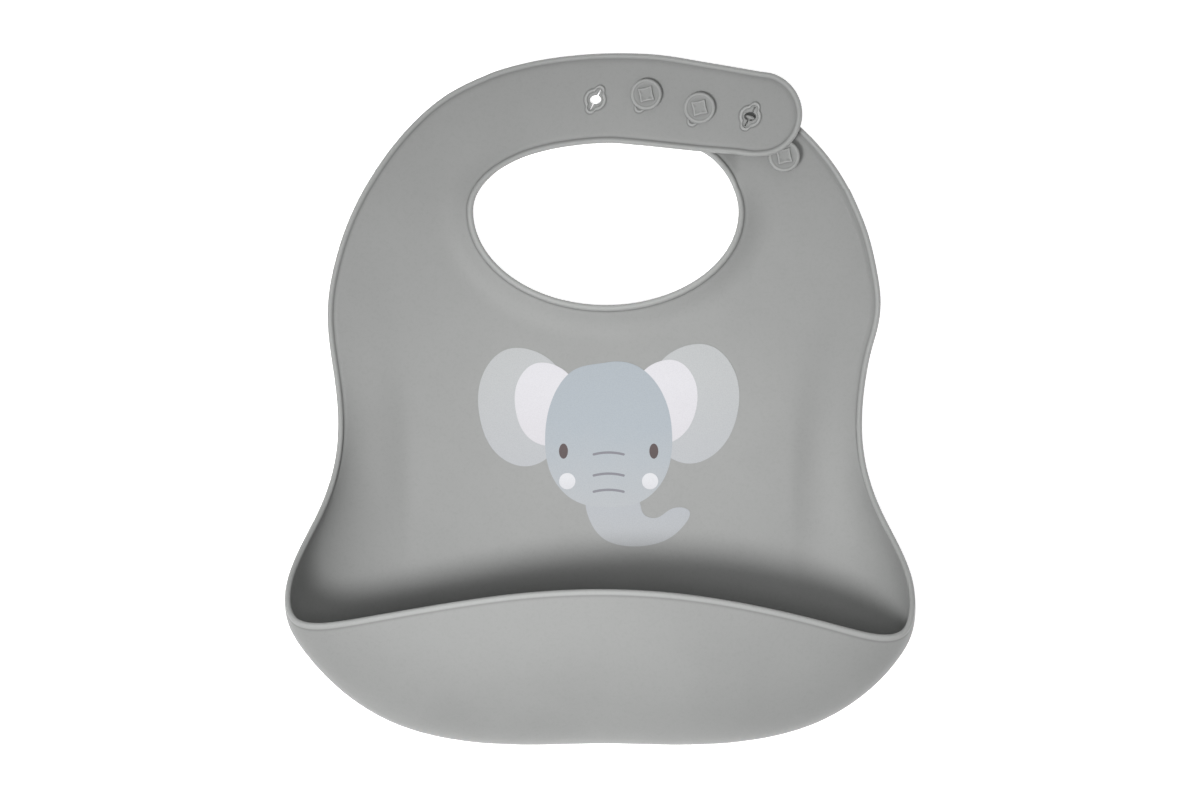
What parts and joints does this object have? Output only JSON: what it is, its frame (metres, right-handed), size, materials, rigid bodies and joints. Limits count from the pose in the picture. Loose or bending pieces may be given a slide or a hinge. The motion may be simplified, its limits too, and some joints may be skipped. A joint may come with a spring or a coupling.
{
  "type": "silicone baby bib",
  "caption": "Soft moulded bib with a deep scoop pocket, rolled edges, a raised neck collar, and a strap with eyelets buttoned over a strap with studs.",
  "frame": {"origin": "middle of the bounding box on the plane that the bib's back lies on", "axes": "+X across the bib to the side with the button strap, +Y from the pocket towards the neck, +Z out of the printed front"},
  "size_m": [0.2295, 0.2544, 0.0478],
  "materials": {
    "silicone": "matte",
    "ink_ears": "matte",
    "ink_pale": "matte",
    "ink_grey_blue": "matte",
    "ink_brown": "matte",
    "ink_violet": "matte"
  },
  "bodies": {
    "bib_body": {"chest_panel": "silicone", "shoulder_bead_left": "silicone", "shoulder_bead_right": "silicone", "neck_collar": "silicone", "neck_bead": "silicone", "pocket_side_left": "silicone", "pocket_front": "silicone", "pocket_side_right": "silicone", "pocket_bead": "silicone", "print_ears": "ink_ears", "print_ear_inners": "ink_pale", "print_face": "ink_grey_blue", "print_trunk": "ink_grey_blue", "print_eyes": "ink_brown", "print_cheeks": "ink_pale", "print_wrinkles": "ink_violet"},
    "hole_strap": {"hole_strap_band": "silicone", "hole_strap_bead": "silicone", "eyelet_1": "silicone", "eyelet_2": "silicone", "eyelet_3": "silicone", "eyelet_4": "silicone"},
    "button_strap": {"button_strap_band": "silicone", "button_strap_bead": "silicone", "buttons": "silicone"}
  },
  "joints": [
    {"name": "hole_strap_lift", "type": "hinge", "parent": "bib_body", "child": "hole_strap", "pos_m": [-0.041, 0.1, 0.002], "axis": [0, -1, 0], "range_deg": [0, 120], "stiffness_Nm_per_rad": 0.01, "deforming": ["eyelet_2", "eyelet_3"]},
    {"name": "button_strap_bend", "type": "hinge", "parent": "bib_body", "child": "button_strap", "pos_m": [0.07, 0.0769, 0], "axis": [-1, 0, 0], "range_deg": [0, 60], "stiffness_Nm_per_rad": 0.01, "deforming": ["eyelet_2", "eyelet_3"]}
  ]
}
